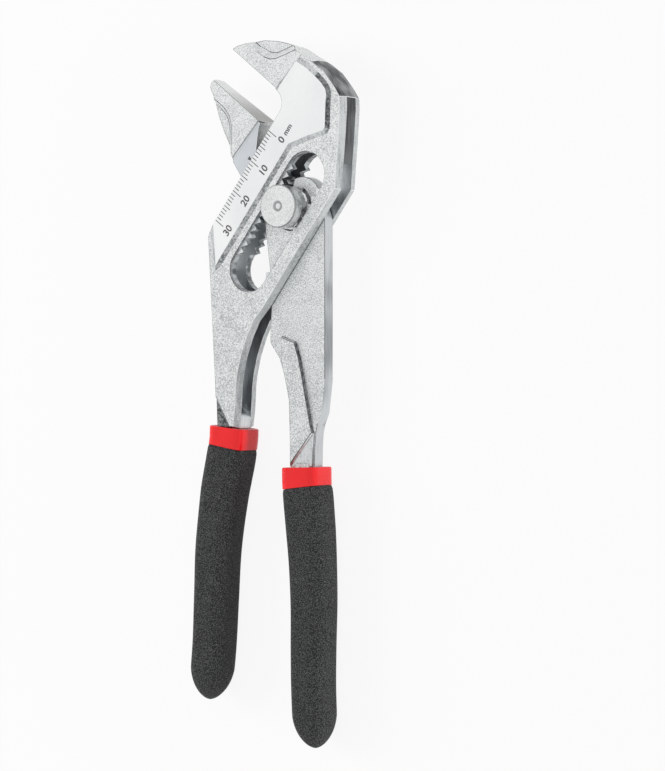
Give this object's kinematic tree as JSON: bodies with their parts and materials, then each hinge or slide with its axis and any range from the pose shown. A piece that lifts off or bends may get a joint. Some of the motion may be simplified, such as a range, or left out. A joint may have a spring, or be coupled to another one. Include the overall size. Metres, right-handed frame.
{
  "type": "pliers wrench",
  "caption": "Pliers wrench with parallel smooth jaws, a toothed slot with a sprung push button that sets the opening, a ruler on its face and sleeved handles.",
  "frame": {"origin": "bottom centre of the bounding box, with the tool lying on its back pad and grips", "axes": "+Y runs along the handles towards the jaws, +Z comes out of the ruler side with the push button, +X is towards the inner arm's handle"},
  "size_m": [0.0518, 0.195, 0.0144],
  "materials": {
    "forged_steel": "satin plated forging, light grey, with ground flanks and a smooth ruler pad",
    "jaw_steel": "satin plated forging with a smooth ground gripping face",
    "bright_steel": "turned and polished",
    "spring_steel": "drawn spring steel",
    "red_sleeve": "glossy red plastic",
    "black_grip": "matt black, fine grained"
  },
  "bodies": {
    "outer": {"outer_arm": "forged_steel", "left_sleeve": "red_sleeve", "left_grip": "black_grip"},
    "carrier": {"rear_bush": "bright_steel", "button_spring": "spring_steel"},
    "inner": {"inner_arm": "forged_steel", "right_sleeve": "red_sleeve", "right_grip": "black_grip"},
    "jaw": {"sliding_jaw": "jaw_steel"},
    "pin": {"push_button_pin": "bright_steel", "retaining_ring": "spring_steel"}
  },
  "joints": [
    {"name": "adjust", "type": "slide", "parent": "outer", "child": "carrier", "axis": [0.5976, 0.8018, 0], "range_m": [-0.0204, 0.0102]},
    {"name": "open", "type": "hinge", "parent": "carrier", "child": "inner", "pos_m": [0.00766, 0.05088, 0.0055], "axis": [0, 0, 1], "range_deg": [0, 28]},
    {"name": "jaw_drive", "type": "slide", "parent": "carrier", "child": "jaw", "axis": [0.5976, 0.8018, 0], "range_m": [-0.0028, 0]},
    {"name": "button", "type": "slide", "parent": "carrier", "child": "pin", "axis": [0, 0, -1], "range_m": [0, 0.00125], "stiffness_N_per_m": 1500, "springref_m": -0.002, "deforming": ["button_spring"]}
  ],
  "couplings": [
    {"joint": "jaw_drive", "follows": "open", "m_per_rad": -0.005475}
  ]
}
